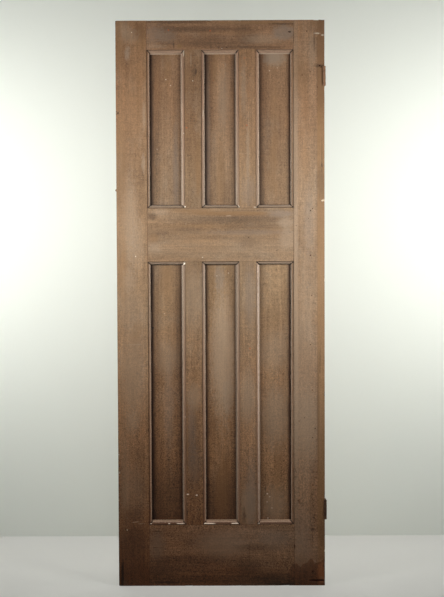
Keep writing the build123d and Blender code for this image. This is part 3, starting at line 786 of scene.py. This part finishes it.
# The rails: top, lock and bottom rail, of the same softwood with the grain level. They are tenoned
# through the stiles and wedged, and their mouldings meet the uprights' in mitres. rail_work gives
# for each rail how its grain lies, the tones of its wood, its moulding and its marks.
rail_arris = 0.0006
rail_work = {
    "top_rail": (
        (1.3, 0.6, 0.2),
        timber_tones(0.94, 1.03),
        (0.75, 0.75, (0.205, 0.155, 0.112), 0.8, 0.85, 11.4, 0.3),
        [
            (dark, 0.35, -195, 1988, 46, 40, 1.1, 0.4), (dark, 0.35, 95, 1988, 40, 40, 1.1, 0.4),
            (dark, 0.5, -150, 2034, 110, 6, 1, 0.7), (dark, 0.4, -60, 2008, 150, 10, 1.2, 0.6),
            (dark, 0.35, -30, 1962, 120, 16, 1.2, 0.6), (warm, 0.45, 130, 2031, 130, 6, 1, 0.4),
            (dark, 0.55, 225, 2026, 45, 4, 1, 0.6), (grey, 0.55, 228, 1995, 38, 26, 0.6, 0.35),
            (pale, 0.35, 150, 1972, 60, 16, 1.2, 0.6),
            ((0.215, 0.158, 0.118), 0.4, -235, 1995, 30, 26, 1.2, 0.9),
            ((0.215, 0.158, 0.118), 0.35, -190, 1985, 30, 22, 1.2, 0.9),
            (pale, 0.3, -230, 1948, 34, 6, 1, 0.9), (dark, 0.5, 100, 1944, 120, 4, 1, 0.6),
            (orange, 0.9, -34.5, 2003, 3, 3.4, 0.6, 0.3), (orange, 0.85, -184, 2006, 2.8, 3.2, 0.6, 0.3),
            (white, 0.8, 7.2, 1940.3, 2, 1.6, 0.5, 0.2), (black, 0.85, 249, 1998, 5, 2.6, 0.9, 0.9),
            (black, 0.9, 23, 1944.5, 2.6, 2, 0.8, 0.5), (dark, 0.7, 10, 1942, 9, 2, 0.8, 0.9),
            (warm, 0.8, -145.5, 1948, 9, 8, 0.8, 0.7), (dark, 0.6, -165, 1952, 2, 12, 0.8, 0.7),
        ],
    ),
    "lock_rail": (
        (0.4, 0.9, 0.7),
        timber_tones(0.99),
        (0.0, 0.0, (0.235, 0.178, 0.132), 0.65, 0.66, 10.4, 0.7),
        [
            (warm, 0.6, -90, 1360, 70, 6, 1, 0.35), (warm, 0.75, 40, 1350, 150, 8, 0.9, 0.35),
            (dark, 0.4, 50, 1328, 200, 15), (dark, 0.3, 120, 1303, 150, 8, 1.2, 0.5),
            (warm, 0.3, -60, 1305, 110, 8, 1.2, 0.5), (dark, 0.55, -247, 1340, 16, 11, 1, 0.6),
            (pale, 0.45, -215, 1356, 24, 10, 1.1, 0.7), (grey, 0.5, 218, 1349, 44, 12, 1, 0.5),
            (pale, 0.5, 236, 1318, 28, 16, 1, 0.5), (pale, 0.45, 238, 1262, 26, 40, 1.1, 0.5),
            (warm, 0.3, 200, 1284, 30, 14, 1.1, 0.6), (pale, 0.12, 40, 1225, 200, 30, 1.3, 0.5),
            (grey, 0.3, 100, 1282, 150, 9, 1.2, 0.6), (warm, 0.45, -240, 1262, 16, 16, 1.1, 0.8),
            (dark, 0.3, -212, 1282, 24, 8, 1.2, 0.8), (pale, 0.3, -240, 1225, 22, 18, 1.2, 0.7),
            (dark, 0.3, -120, 1295, 50, 8, 1.2, 0.8), (dark, 0.25, 97, 1248, 30, 20, 1.2, 0.6),
            (warm, 0.3, -100, 1186, 40, 6, 1.2, 0.7), (pale, 0.75, 29.3, 1342, 9, 1.6, 0.7, 0.7),
            (black, 0.9, 101, 1264.5, 1.9, 2, 0.6, 0.1), (dark, 0.5, 228.3, 1278, 1.8, 1.2, 0.8, 0.4),
            (dark, 0.5, 249, 1282, 3.2, 1.1, 0.8, 0.5), (dark, 0.45, 213, 1339.4, 1.6, 1.2, 0.8, 0.4),
            (dark, 0.45, 231, 1333.3, 2.6, 1.2, 0.8, 0.5, 2, 12),
            (dark, 0.45, 253, 1328.1, 1.8, 1.2, 0.8, 0.4), (dark, 0.8, 202, 1216, 3.5, 1.3, 0.7, 0.3),
            (pale, 0.7, -125, 1313.5, 1.6, 2.4, 0.5, 0.2), (white, 0.7, -65, 1193, 2, 2, 0.5, 0.2),
            (chalk, 0.9, -129, 1174, 4.5, 3.5, 0.6, 0.5),
            *((seam, 0.75, x, 1369.6, 28, 0.9, 0.9, 0.7, 8) for x in (-94, 94)),
            *((seam, 0.6, x, 1178.4, 28, 0.8, 0.9, 0.9, 8) for x in (-94, 94)),
        ],
    ),
    "bottom_rail": (
        (0.1, 0.2, 1.1),
        timber_tones(1.24, 0.92, 1.12),
        (0.1, 0.1, (0.135, 0.084, 0.057), 0.85, 0.9, 11.2, 0.95),
        [
            (grey, 0.3, 90, 180, 190, 34), (grey, 0.55, -235, 150, 24, 50, 1.2, 0.6),
            ((0.33, 0.255, 0.19), 0.6, 0, 150, 84, 46), ((0.26, 0.205, 0.16), 0.35, 190, 165, 60, 30),
            (dark, 0.35, 95, 66, 50, 34, 1.2, 0.5), (dark, 0.45, 195, 24, 60, 22, 1.1, 0.5),
            ((0.34, 0.27, 0.21), 0.5, 120, 5, 110, 3, 0.9, 0.9), (dark, 0.35, 60, 20, 250, 20, 1.2, 0.6),
            (dark, 0.35, -225, 60, 50, 40, 1.2, 0.6), (dark, 0.3, -100, 95, 120, 20, 1.3, 0.6),
            (dark, 0.35, 120, 140, 60, 12, 1.3, 0.7), (black, 0.6, 225, 7, 110, 4, 0.8, 0.8),
            (dark, 0.7, -235, 199, 26, 1.2, 0.8, 0.7), (dark, 0.7, -238, 140, 24, 1.2, 0.8, 0.7),
            (dark, 0.6, 220, 200, 40, 1, 0.8, 0.7), (dark, 0.5, 100, 110, 1, 44, 0.8, 0.6),
            (black, 0.6, 44, 92, 2.2, 3, 0.8, 0.6), (dark, 0.7, -200, 13, 46, 3, 0.9, 0.7),
            *((seam, 0.8, x, 223.6, 28, 1.0, 0.9, 0.5, 8) for x in (-94, 94)),
            *(
                (chalk, strength, x, 227.8, half_width, half_height, 0.7, 0.4, 5)
                for strength, x, half_width, half_height in (
                    (0.95, -150, 14, 1.8), (0.8, -191, 3, 1.8), (0.8, -257, 4, 1.8),
                    (0.95, -50, 23, 1.9), (0.95, 48, 13, 1.9), (0.9, 134, 4, 1.9),
                )
            ),
        ],
    ),
}
rail_holes = {"top_rail": [(23, 1944.5, 2.2)], "lock_rail": [(101, 1264.5, 1.9)]}
rail_nicks = {
    "top_rail": [
        (-255, 2040, 6, 2, 2.5, 4, "dirty"), (-40, 2040.2, 12, 1.6, 2.0, -2, "dirty"),
        (70, 2040, 5, 2.0, 3.0, 6, "dirty"), (249, 1997, 4, 1.5, 2.5, 12, "hole"),
    ],
    "bottom_rail": [
        (-120, 0, 14, 2.2, 3.0, 1, "dirty"), (60, 0.5, 10, 1.8, 2.5, -2, "dirty"),
        (225, 0, 20, 2.4, 3.5, 1, "dirty"),
    ],
}
for node, (offset, tones, moulding, marks) in rail_work.items():
    marks += [(seam, 0.4, side * 262.6, 1000, 0.7, 1100, 0.9, 0.9, 8) for side in (-1, 1)]
    wet, pith = node == "bottom_rail", (0.03, 0.06)
    timber = timber_material(f"{node}_timber", "X", offset, tones, marks, moulding, pith, wet)
    worn_copy(node, rail_arris, timber, rail_holes.get(node, []), rail_nicks.get(node, []))

# The muntins: four short uprights of the same softwood that divide the panels, stub-tenoned into
# the rails, with a moulding on both edges.
muntin_work = {
    "upper_left_muntin": (
        (0.7, 0.5, 0.1),
        timber_tones(0.89, 1.03, 0.93),
        [
            (dark, 0.75, -86.5, 1857, 3.5, 12, 0.8, 0.6), (dark, 0.4, -92, 1857, 5, 20, 0.9, 0.6),
            (dark, 0.25, -98, 1850, 36, 110), (pale, 0.5, -104, 1900, 1.6, 24, 0.7, 0.5),
            (white, 0.95, -129.5, 1925, 2, 13, 0.7, 0.4), (white, 0.9, -97.5, 1825, 1.6, 1.8, 0.5, 0.2),
            (white, 0.8, -131, 1638, 1.4, 2, 0.5, 0.3), (orange, 0.9, -120.5, 1658, 3, 3, 0.6, 0.3),
            (warm, 0.4, -78, 1500, 9, 130, 1.1, 0.4), (white, 0.7, -61, 1700, 1, 20, 0.9, 1.2),
            (chalk, 0.9, -128, 1375.5, 2.8, 2.8, 0.6, 0.4),
        ],
    ),
    "upper_right_muntin": (
        (0.2, 0.7, 0.9),
        timber_tones(1.04, 1.02, 0.96),
        [
            (pale, 0.45, 99, 1560, 6, 110, 1, 0.9), (pale, 0.55, 109, 1463, 15, 0.9, 0.8, 0.7, 4, 47),
            (pale, 0.4, 84, 1565, 15, 1, 0.8, 0.7, 4, -8), (pale, 0.35, 84, 1800, 10, 90, 1.2, 0.7),
            (orange, 0.9, 95.7, 1665.5, 2.8, 3, 0.6, 0.3), (grey, 0.35, 100, 1430, 24, 50, 1.2, 0.6),
            (orange, 0.8, 88, 1905, 2.2, 3, 0.5, 0.2), (white, 0.9, 62, 1372.5, 6, 1.1, 0.7, 0.5, 4, 8),
            (white, 0.9, 67, 1376, 4, 0.9, 0.7, 0.5, 4, -50),
            (white, 0.9, 126, 1372.5, 6, 1.1, 0.7, 0.5, 4, -6),
        ],
    ),
    "lower_left_muntin": (
        (1.1, 0.1, 0.5),
        timber_tones(0.93, 1.03, 0.94),
        [
            (grey, 0.4, -106, 560, 14, 110, 1.2, 0.7), (warm, 0.3, -92, 700, 14, 90, 1.2, 0.6),
            (pale, 0.35, -98, 1040, 34, 110), (grey, 0.35, -100, 440, 22, 60, 1.2, 0.7),
            (pale, 0.35, -98, 690, 26, 46, 1.1, 0.5), (dark, 0.3, -98, 480, 30, 130),
            (chalk, 0.8, -123, 334.8, 4.5, 2, 0.5, 0.4), (chalk, 0.8, -90.5, 331.4, 3.5, 2.6, 0.5, 0.4),
            (white, 0.8, -130.8, 616.2, 1.6, 1.8, 0.5, 0.2), (chalk, 0.9, -131, 1171, 4.5, 4.5, 0.6, 0.5),
        ],
    ),
    "lower_right_muntin": (
        (0.9, 0.8, 1.3),
        timber_tones(1.05, 0.99, 0.99),
        [
            (pale, 0.7, 96, 292, 30, 70), (grey, 0.5, 108, 330, 18, 130, 1.2, 0.5),
            (grey, 0.4, 104, 1050, 18, 100, 1.2, 0.6), (pale, 0.5, 97, 680, 28, 90),
            (black, 0.85, 84, 396, 1.6, 1.6, 0.6, 0.2), (dark, 0.6, 82, 258, 5, 22, 1, 0.9),
            ((0.72, 0.62, 0.54), 0.5, 134, 700, 1.2, 475, 0.8, 1, 8),
            ((0.58, 0.44, 0.33), 0.55, 54, 780, 1.2, 395, 0.8, 1, 8),
            (orange, 0.9, 104.7, 864, 2.6, 3.2, 0.5, 0.3),
        ],
    ),
}
for node, (offset, tones, marks) in muntin_work.items():
    # The muntins' quirks are mostly full: old paint, painted paler against the groove's shade
    quirk_filled = (0.35, 0.95) if "left" in node else (0.95, 0.95)
    moulding = (*quirk_filled, (0.29, 0.205, 0.15), 0.65, 0.8, 10.9, 0.85)
    timber = timber_material(f"{node}_timber", "Z", offset, tones, marks, moulding)
    worn_copy(node, rail_arris, timber)

# The panels: six thin flat softwood boards that float in the grooves. They have moved a little with
# the damp, so their faces aren't quite flat, and shade is painted along their edges beside the mouldings.
moulding_width = 0.011
board_arris, dip_depth = 0.0006, 0.0004
strips_up, strips_across = 40, 14


def panel_material(name, offset, tones, marks, edges):
    """Panel timber with painted shade along the mouldings, and lines of old paint left there.

    edges gives for its left edge, right edge, foot and head how dark the painted shadow line beside
    it is, how dark the wider band of painted shade is, and how wide a line of paint is left on it, in mm.
    beside it is, and how wide a line of paint is left on it, in mm.
    """
    material = timber_material(name, "Z", offset, tones, marks)
    tree = material.node_tree
    shader = tree.nodes["Principled BSDF"]
    colour = shader.inputs["Base Color"].links[0].from_socket
    place = put(tree, "TexCoord").outputs["Object"]
    where = put(tree, "Group", {"Place": place}, node_tree=opening_place).outputs
    stray, ragged_stray = 0.012, 0.004
    uneven = noise(tree, place, (70, 70, 12), 4, 0.6)
    uneven = number(tree, "SUBTRACT", uneven, 0.5 + moulding_width / stray)
    ragged = noise(tree, place, (260, 260, 190), 4, 0.75)
    ragged = number(tree, "SUBTRACT", ragged, 0.5 + moulding_width / ragged_stray)
    for side, (black, dull, paint) in zip(("Left", "Right", "Foot", "Head"), edges):
        # Painted shadow beside each moulding: a dark line close in and a wider band of painted shade
        seen = number(tree, "MULTIPLY_ADD", uneven, stray, where[side])
        shadow_line_end = 0.018 if side in ("Left", "Right") else 0.006
        painted_shadow_line = ramp(tree, seen, 0.002, shadow_line_end, 1.0, 0.0)
        painted_shade_band = ramp(tree, seen, 0.004, 0.052, 1.0, 0.0)
        colour = lay(tree, colour, (0.16, 0.105, 0.07), painted_shadow_line, black, "MULTIPLY")
        colour = lay(tree, colour, (0.325, 0.25, 0.205), painted_shade_band, 0.8 * dull, "MULTIPLY")
        if paint:
            from_lip = number(tree, "MULTIPLY_ADD", ragged, ragged_stray, where[side])
            line_end = paint / 1000
            line = ramp(tree, from_lip, line_end - 0.0006, line_end + 0.0006, 0.85, 0.0)
            # The paint line along the foot is painted paler, a painted highlight that lifts it out of the
            # shade there
            shade = (0.72, 0.50, 0.34) if side == "Foot" else (0.42, 0.32, 0.24)
            colour = tint(tree, line, colour, shade)
    tree.links.new(colour, shader.inputs["Base Color"])
    return material


def panel_board(node, bow, seed):
    """A panel as a finely divided board whose face bows and dips by a few tenths of a millimetre."""
    low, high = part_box(node)
    middle = (low + high) / 2
    bpy.ops.object.select_all(action="DESELECT")
    bpy.ops.mesh.primitive_cube_add(size=1)
    piece = bpy.context.object
    piece.name = f"{node}_board"
    bpy.ops.object.mode_set(mode="EDIT")
    bpy.ops.mesh.select_all(action="SELECT")
    bpy.ops.transform.resize(value=tuple(high - low))
    bpy.ops.transform.translate(value=tuple(middle))
    bpy.ops.mesh.select_all(action="SELECT")
    bpy.ops.mesh.bevel(offset=board_arris, segments=2, affect="EDGES")
    bpy.ops.mesh.select_all(action="DESELECT")
    for axis, cuts in ((2, strips_up), (0, strips_across)):
        for i in range(1, cuts):
            cut_at = middle.copy()
            cut_at[axis] = low[axis] + (high[axis] - low[axis]) * i / cuts
            normal = [0, 0, 0]
            normal[axis] = 1
            bpy.ops.mesh.select_all(action="SELECT")
            bpy.ops.mesh.bisect(plane_co=tuple(cut_at), plane_no=tuple(normal))
    bpy.ops.object.mode_set(mode="OBJECT")
    for vertex in piece.data.vertices:
        across = (vertex.co.x - middle.x) / (high.x - middle.x)
        up = (vertex.co.z - middle.z) / (high.z - middle.z)
        inside = max(0.0, 1 - across**8) * max(0.0, 1 - up**8)
        broad_dip = 0.5 * math.sin(3.1 * up + seed) * math.cos(1.9 * across + 0.7 * seed)
        dip = broad_dip + 0.25 * math.sin(7.3 * up - seed)
        vertex.co.y += inside * (bow * (1 - across**2) + dip_depth * dip)
    bpy.ops.object.shade_smooth_by_angle(angle=smooth_turn)
    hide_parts(node)
    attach(piece, "door")
    return piece


# Each panel's tones, bow, painted shade and paint lines along its edges, and marks
panel_work = {
    "upper_left_panel": (
        timber_tones(0.98),
        0.0005,
        ((0.85, 0.7, 0), (0.1, 0.4, 3), (0.2, 0.1, 0), (0, 0.15, 3.5)),
        [
            (white, 0.95, -194.9, 1832.4, 1.8, 2, 0.5, 0.1),
            (white, 0.95, -177.8, 1811.3, 1.5, 1.5, 0.5, 0.1),
            (white, 0.7, -227.7, 1583, 1.4, 1.6, 0.5, 0.1), (grey, 0.4, -160, 1500, 10, 150, 1.3, 0.5),
            (warm, 0.35, -190, 1880, 14, 50, 1.2, 0.5),
        ],
    ),
    "upper_middle_panel": (
        timber_tones(1.03),
        -0.0004,
        ((0.85, 0.85, 1), (0.7, 0.5, 3), (0.2, 0.15, 0), (0, 0.1, 3.5)),
        [
            (orange, 0.8, -23.5, 1828.4, 1.8, 2, 0.5, 0.1), (grey, 0.5, -46, 1600, 9, 300),
            (warm, 0.4, 0, 1470, 14, 120), (warm, 0.4, -20, 1880, 14, 60),
            (pale, 0.4, 12, 1760, 20, 110, 1.3, 0.5), (pale, 0.5, 20, 1882, 2.5, 8, 0.8, 0.5),
        ],
    ),
    "upper_right_panel": (
        timber_tones(0.99),
        0.0004,
        ((0.5, 0.8, 1.5), (0.8, 0.1, 0), (0.2, 0.1, 0), (0, 0, 3.5)),
        [
            (grey, 0.6, 190, 1908, 36, 20, 0.9, 0.5), (pale, 0.5, 196, 1905, 40, 26, 0.9, 0.5),
            (white, 0.8, 178, 1862, 1.6, 1.6, 0.5, 0.1), (white, 0.5, 206, 1872, 1.3, 1.6, 0.5, 0.1),
            (warm, 0.4, 190, 1500, 16, 100, 1.2, 0.5), (warm, 0.3, 196, 1700, 14, 120, 1.2, 0.5),
        ],
    ),
    "lower_left_panel": (
        timber_tones(0.99, 1.04, 0.92),
        -0.0006,
        ((0.95, 0.65, 0), (0.5, 0.85, 3), (0.6, 0.3, 4), (0.5, 0.05, 0)),
        [
            (warm, 0.45, -198, 1110, 22, 60, 1.2, 0.5), (grey, 0.3, -190, 650, 16, 160, 1.3, 0.5),
            (black, 0.85, -247, 939, 4, 3.4, 0.8, 0.6), (pale, 0.3, -195, 830, 46, 60, 1.2, 0.5),
            (dark, 0.45, -195, 300, 62, 110), (white, 0.5, -205, 990, 1.4, 1.6, 0.5, 0.1),
        ],
    ),
    "lower_middle_panel": (
        timber_tones(1.02, 1.03, 0.89),
        0.0006,
        ((0.9, 0.35, 0.5), (0.55, 0.65, 4), (0.6, 0.3, 4), (0.5, 0.05, 0)),
        [
            (grey, 0.5, -4, 1115, 16, 50, 1, 0.6), ((0.36, 0.262, 0.178), 0.6, 8, 830, 44, 230, 0.9, 0.4),
            (rusty, 0.22, 0, 292, 52, 46), (pale, 0.35, 25, 690, 20, 60, 0.5, 0.5),
            (dark, 0.4, 0, 300, 62, 110), (warm, 0.5, 4, 350, 28, 130),
            (white, 0.7, 28, 1136, 1.8, 1.8, 0.5, 0.1), (white, 0.6, -14, 1126, 1.6, 1.8, 0.5, 0.1),
        ],
    ),
    "lower_right_panel": (
        timber_tones(1.15, 1.0, 0.95),
        -0.0005,
        ((0.15, 0.45, 2), (0.95, 0.4, 0), (0.2, 0.1, 4), (0.35, 0, 0)),
        [
            (chalk, 0.9, 166, 333, 3, 2.2, 0.5, 0.3), (chalk, 0.75, 175, 322, 2.2, 2.2, 0.5, 0.2),
            (chalk, 0.75, 165, 303, 2, 2, 0.5, 0.2), (chalk, 0.7, 182.6, 281, 2, 2.2, 0.5, 0.2),
            (chalk, 0.75, 168, 244, 2.4, 2.2, 0.5, 0.2), (pale, 0.6, 190, 288, 46, 66),
            (pale, 0.35, 196, 852, 50, 66), (pale, 0.5, 198, 620, 56, 110),
            (warm, 0.3, 200, 400, 12, 120, 1.2, 0.5),
        ],
    ),
}
for i, (node, (tones, bow, edges, marks)) in enumerate(panel_work.items()):
    board = panel_board(node, bow, 1.7 * i)
    offset = (0.37 * i + 0.05, 0.21 * i, 0.83 * i)
    board.data.materials.append(panel_material(f"{node}_timber", offset, tones, marks, edges))

# The wedges: softwood, two to each tenon, driven from the leaf's edges and sawn off flush, so that
# only their end grain shows there.
wedge_timber = timber_material("wedge_timber", "X", (0.6, 0.4, 0.3), timber_tones(0.98), [])
for node in frame["nodes"]:
    if node.endswith("_wedges"):
        piece = frame["nodes"][node]
        piece.data.materials.clear()
        piece.data.materials.append(wedge_timber)

# The butt hinges: pressed iron leaves with the last of a brown paint on the upper one and dark
# rust on the lower one, their pins and the slotted screws of the let-in leaves.


def iron_material(name, skin, rust, worn, rust_share):
    """Old iron: what is left of a skin of paint or scale, rust blotches and rubbed high places."""
    material, tree, shader = new_material(name)
    place = put(tree, "TexCoord").outputs["Object"]
    broad = noise(tree, place, (120, 120, 120), 5, 0.65)
    fine = noise(tree, place, (900, 900, 900), 4, 0.7)
    colour = tint(tree, ramp(tree, broad, 0.62 - rust_share, 0.78 - rust_share), skin, rust)
    colour = lay(tree, colour, worn, ramp(tree, fine, 0.52, 0.7), 0.5)
    tree.links.new(colour, shader.inputs["Base Color"])
    tree.links.new(number(tree, "MULTIPLY_ADD", fine, 0.3, 0.5), shader.inputs["Roughness"])
    shader.inputs["Metallic"].default_value = 0.25
    height = number(tree, "ADD", broad, number(tree, "MULTIPLY", fine, 0.5))
    bump = put(tree, "Bump", {"Strength": 0.6, "Distance": 0.0003, "Height": height})
    tree.links.new(bump.outputs["Normal"], shader.inputs["Normal"])
    return material


iron_colours = {
    "upper_hinge_iron": ((0.25, 0.135, 0.072), (0.13, 0.06, 0.03), (0.30, 0.20, 0.13), 0.10),
    "lower_hinge_iron": ((0.10, 0.05, 0.028), (0.05, 0.024, 0.014), (0.16, 0.085, 0.045), 0.2),
    "pin_steel": ((0.11, 0.075, 0.055), (0.06, 0.03, 0.018), (0.2, 0.15, 0.12), 0.15),
    "screw_steel": ((0.15, 0.10, 0.07), (0.08, 0.04, 0.022), (0.27, 0.2, 0.15), 0.15),
}
iron = {name: iron_material(name, *colours) for name, colours in iron_colours.items()}


def eased_copy(node, body, width):
    """A copy of an iron CAD node with eased edges, standing for that node."""
    flat_turn, pinched = math.radians(1), 0.000002
    piece = merged_copy(node, "eased")
    bpy.ops.mesh.dissolve_limited(angle_limit=flat_turn)
    bpy.ops.object.mode_set(mode="OBJECT")
    bevel = piece.modifiers.new("eased", "BEVEL")
    bevel.width = width
    bevel.segments = 2
    bevel.limit_method = "ANGLE"
    bevel.angle_limit = sharp_turn
    bpy.ops.object.modifier_apply(modifier=bevel.name)
    bpy.ops.object.mode_set(mode="EDIT")
    bpy.ops.mesh.select_all(action="SELECT")
    bpy.ops.mesh.remove_doubles(threshold=pinched)
    bpy.ops.object.mode_set(mode="OBJECT")
    bpy.ops.object.shade_smooth_by_angle(angle=smooth_turn)
    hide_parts(node)
    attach(piece, body)
    return piece


for name in ("upper", "lower"):
    for which, body in (("door", "door"), ("frame", f"{name}_frame_leaf")):
        leaf = eased_copy(f"{name}_hinge_{which}_leaf", body, width=0.0003)
        leaf.data.materials.append(iron[f"{name}_hinge_iron"])
    pin = eased_copy(f"{name}_hinge_pin", "door", width=0.0004)
    pin.data.materials.append(iron["pin_steel"])
screws = frame["nodes"]["hinge_screws"]
screws.data.materials.clear()
screws.data.materials.append(iron["screw_steel"])

# The nail: forged iron, driven into the left edge of the leaf until only its faceted head stands
# out of the wood, under a skin of old paint.
nail = eased_copy("edge_nail", "door", width=0.0005)
nail.data.materials.append(
    iron_material("nail_iron", (0.15, 0.095, 0.062), (0.10, 0.05, 0.03), (0.21, 0.15, 0.11), 0.05)
)
